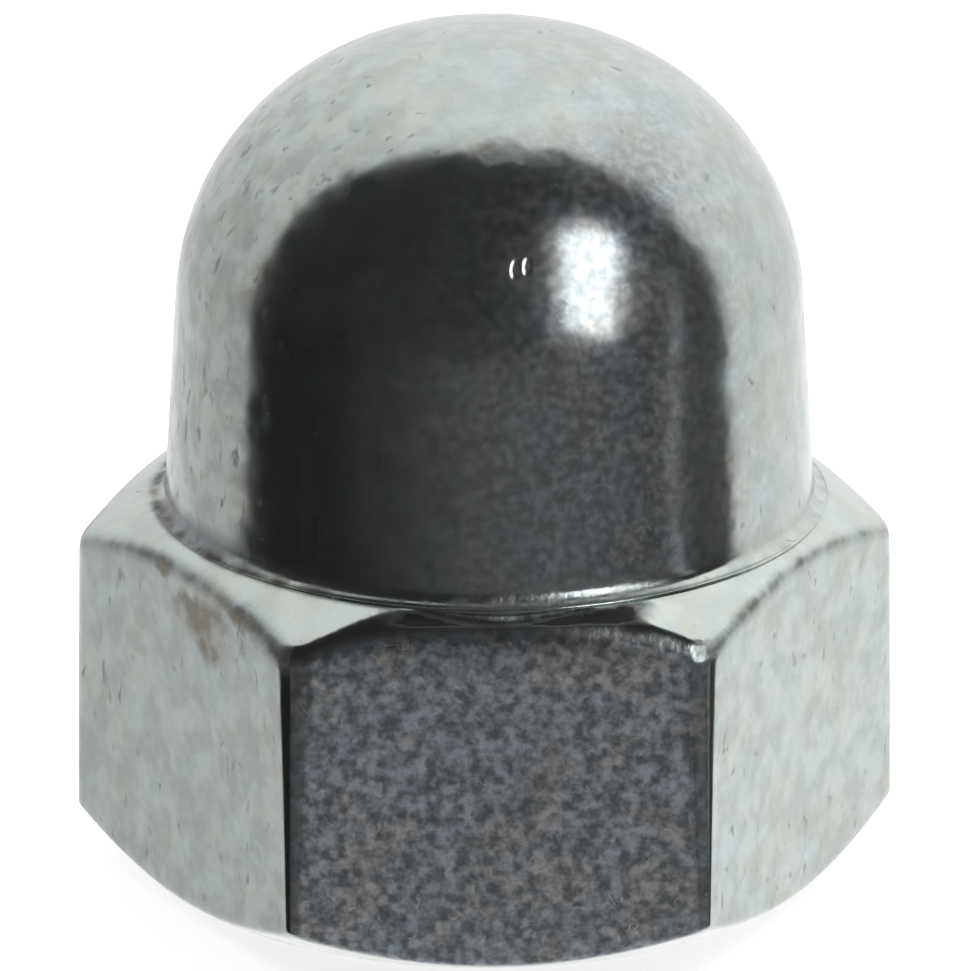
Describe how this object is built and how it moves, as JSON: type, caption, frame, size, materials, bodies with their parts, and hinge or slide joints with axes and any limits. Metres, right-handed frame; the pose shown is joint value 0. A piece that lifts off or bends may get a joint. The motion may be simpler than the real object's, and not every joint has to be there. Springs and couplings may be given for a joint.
{
  "type": "cap nut",
  "caption": "Domed cap nut: a hexagon nut closed by a high dome over a blind metric thread, in satin zinc plated steel.",
  "frame": {"origin": "centre of the bearing face, on the thread axis", "axes": "+Z along the thread axis towards the top of the dome, +X through a corner of the hexagon, so that one flat faces -Y"},
  "size_m": [0.0208, 0.018, 0.0217],
  "materials": {
    "zinc_plated_steel": "satin bright zinc plate, finely scratched and mottled"
  },
  "bodies": {
    "root": {"cap_nut": "zinc_plated_steel"}
  },
  "joints": []
}
